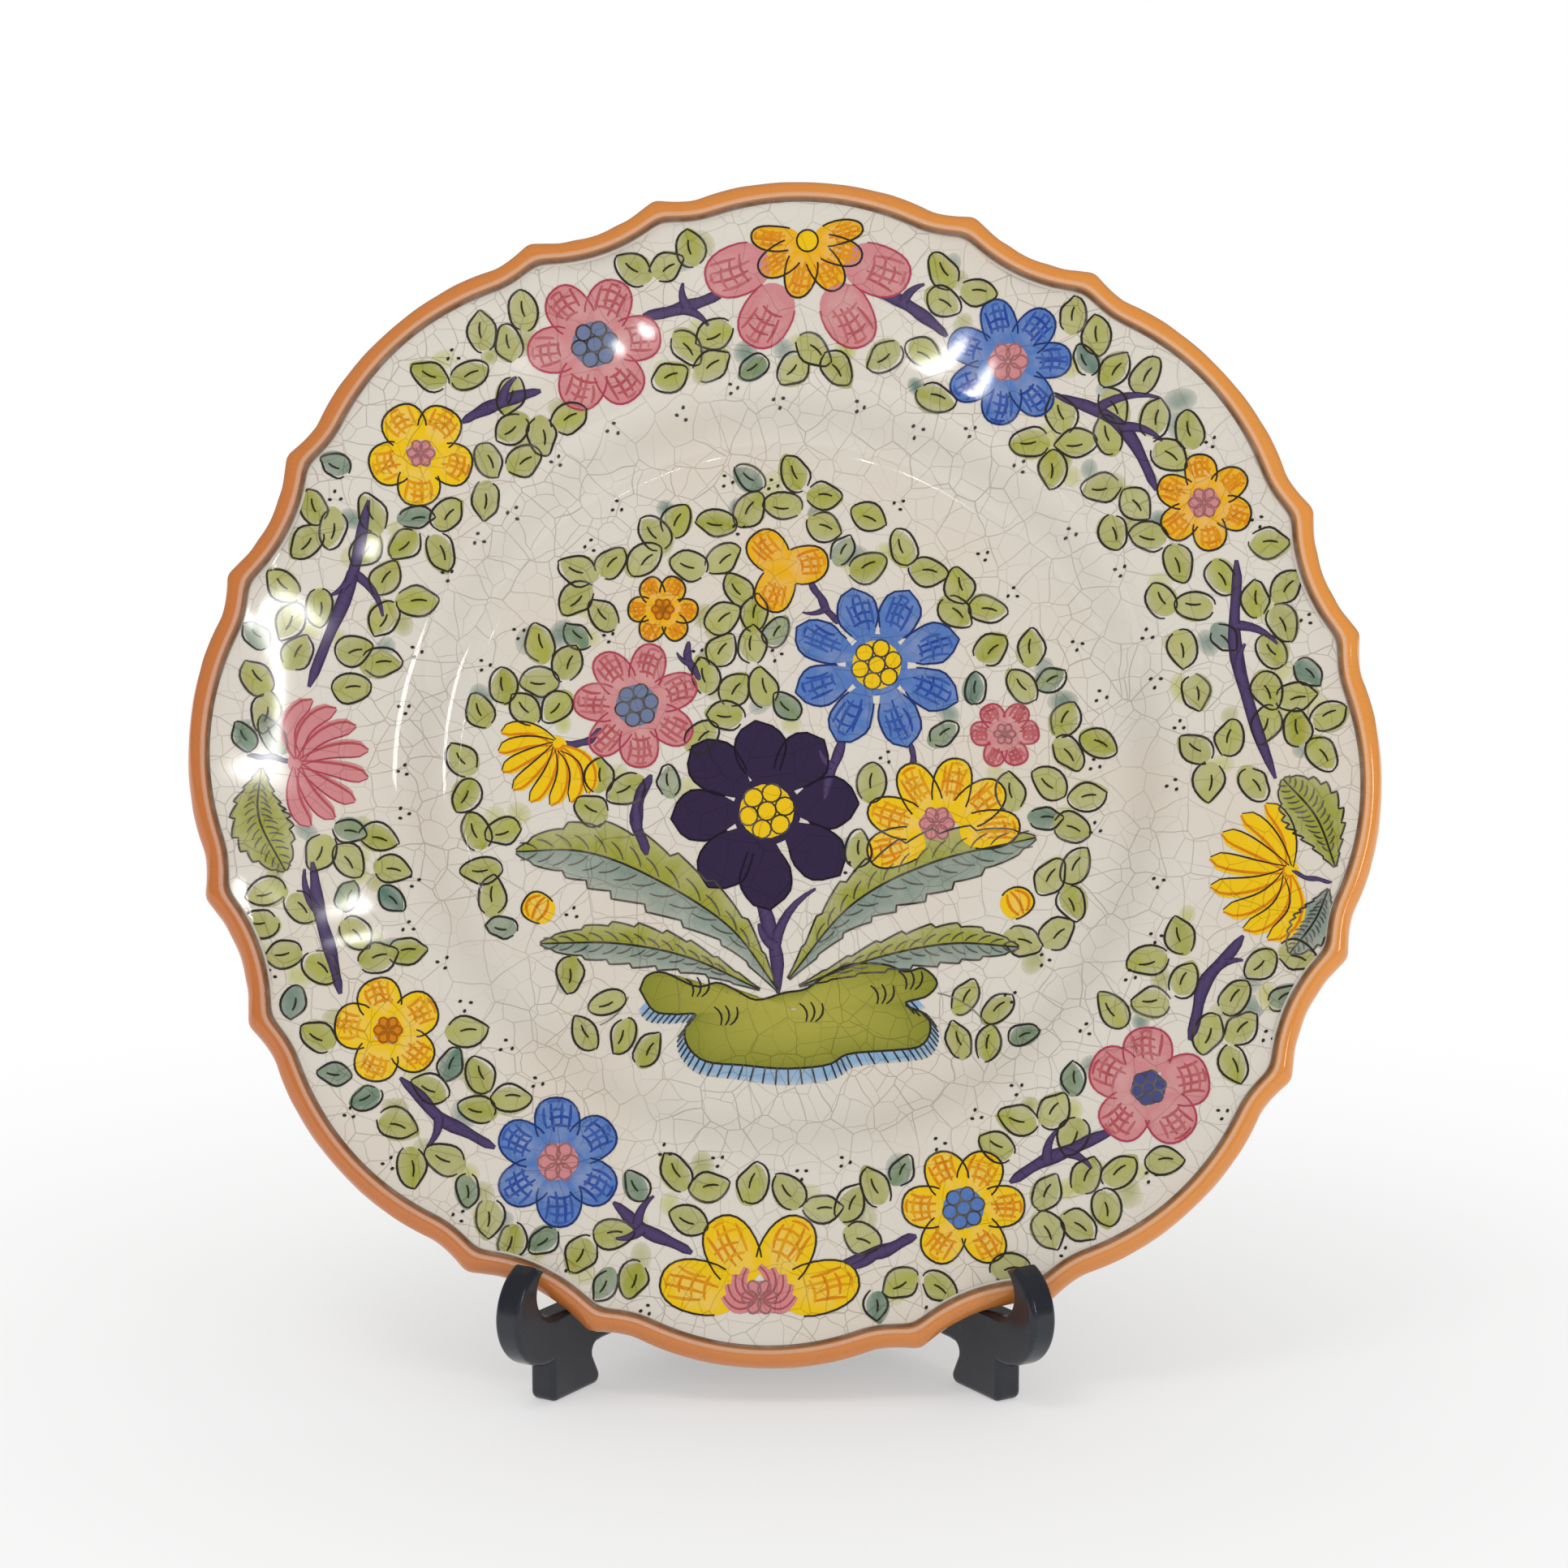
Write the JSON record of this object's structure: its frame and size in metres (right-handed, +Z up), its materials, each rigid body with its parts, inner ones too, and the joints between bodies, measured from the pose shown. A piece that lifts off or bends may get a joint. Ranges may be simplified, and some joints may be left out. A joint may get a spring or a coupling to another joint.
{
  "type": "decorative plate on stand",
  "caption": "Round glazed ceramic plate with a scalloped raised lip and painted flowers, leaning in a folding two-leg display stand.",
  "frame": {"origin": "on the table, at the middle of the footprint of plate and stand together", "axes": "+Z up, the painted face looks towards -Y and leans back by 16 degrees, +X to the viewer's right"},
  "size_m": [0.3298, 0.1134, 0.327],
  "materials": {
    "biscuit": "matt fired earthenware",
    "cream_glaze": "glossy crackled cream glaze",
    "back_glaze": "glossy cream glaze",
    "orange_glaze": "glossy ochre orange glaze",
    "stand_plastic": "black moulded plastic, satin gloss",
    "pin_metal": "bright wire pin"
  },
  "bodies": {
    "stand_left_leg": {"stand_left": "stand_plastic", "hinge_pin": "pin_metal"},
    "stand_right_leg": {"stand_right": "stand_plastic"},
    "plate": {"plate_body": "biscuit", "front_glaze": "cream_glaze", "back_glaze": "back_glaze", "rim_glaze": "orange_glaze"}
  },
  "joints": [
    {"name": "plate_lift", "type": "slide", "parent": "stand_left_leg", "child": "plate", "axis": [0, 0, 1], "range_m": [0, 0.18]},
    {"name": "stand_fold", "type": "hinge", "parent": "stand_left_leg", "child": "stand_right_leg", "pos_m": [-0.0025, 0.0515, 0.065], "axis": [0, 0, -1], "range_deg": [0, 64]}
  ],
  "couplings": [
    {"joint": "stand_fold", "follows": "plate_lift", "rad_per_m": 6.2}
  ]
}
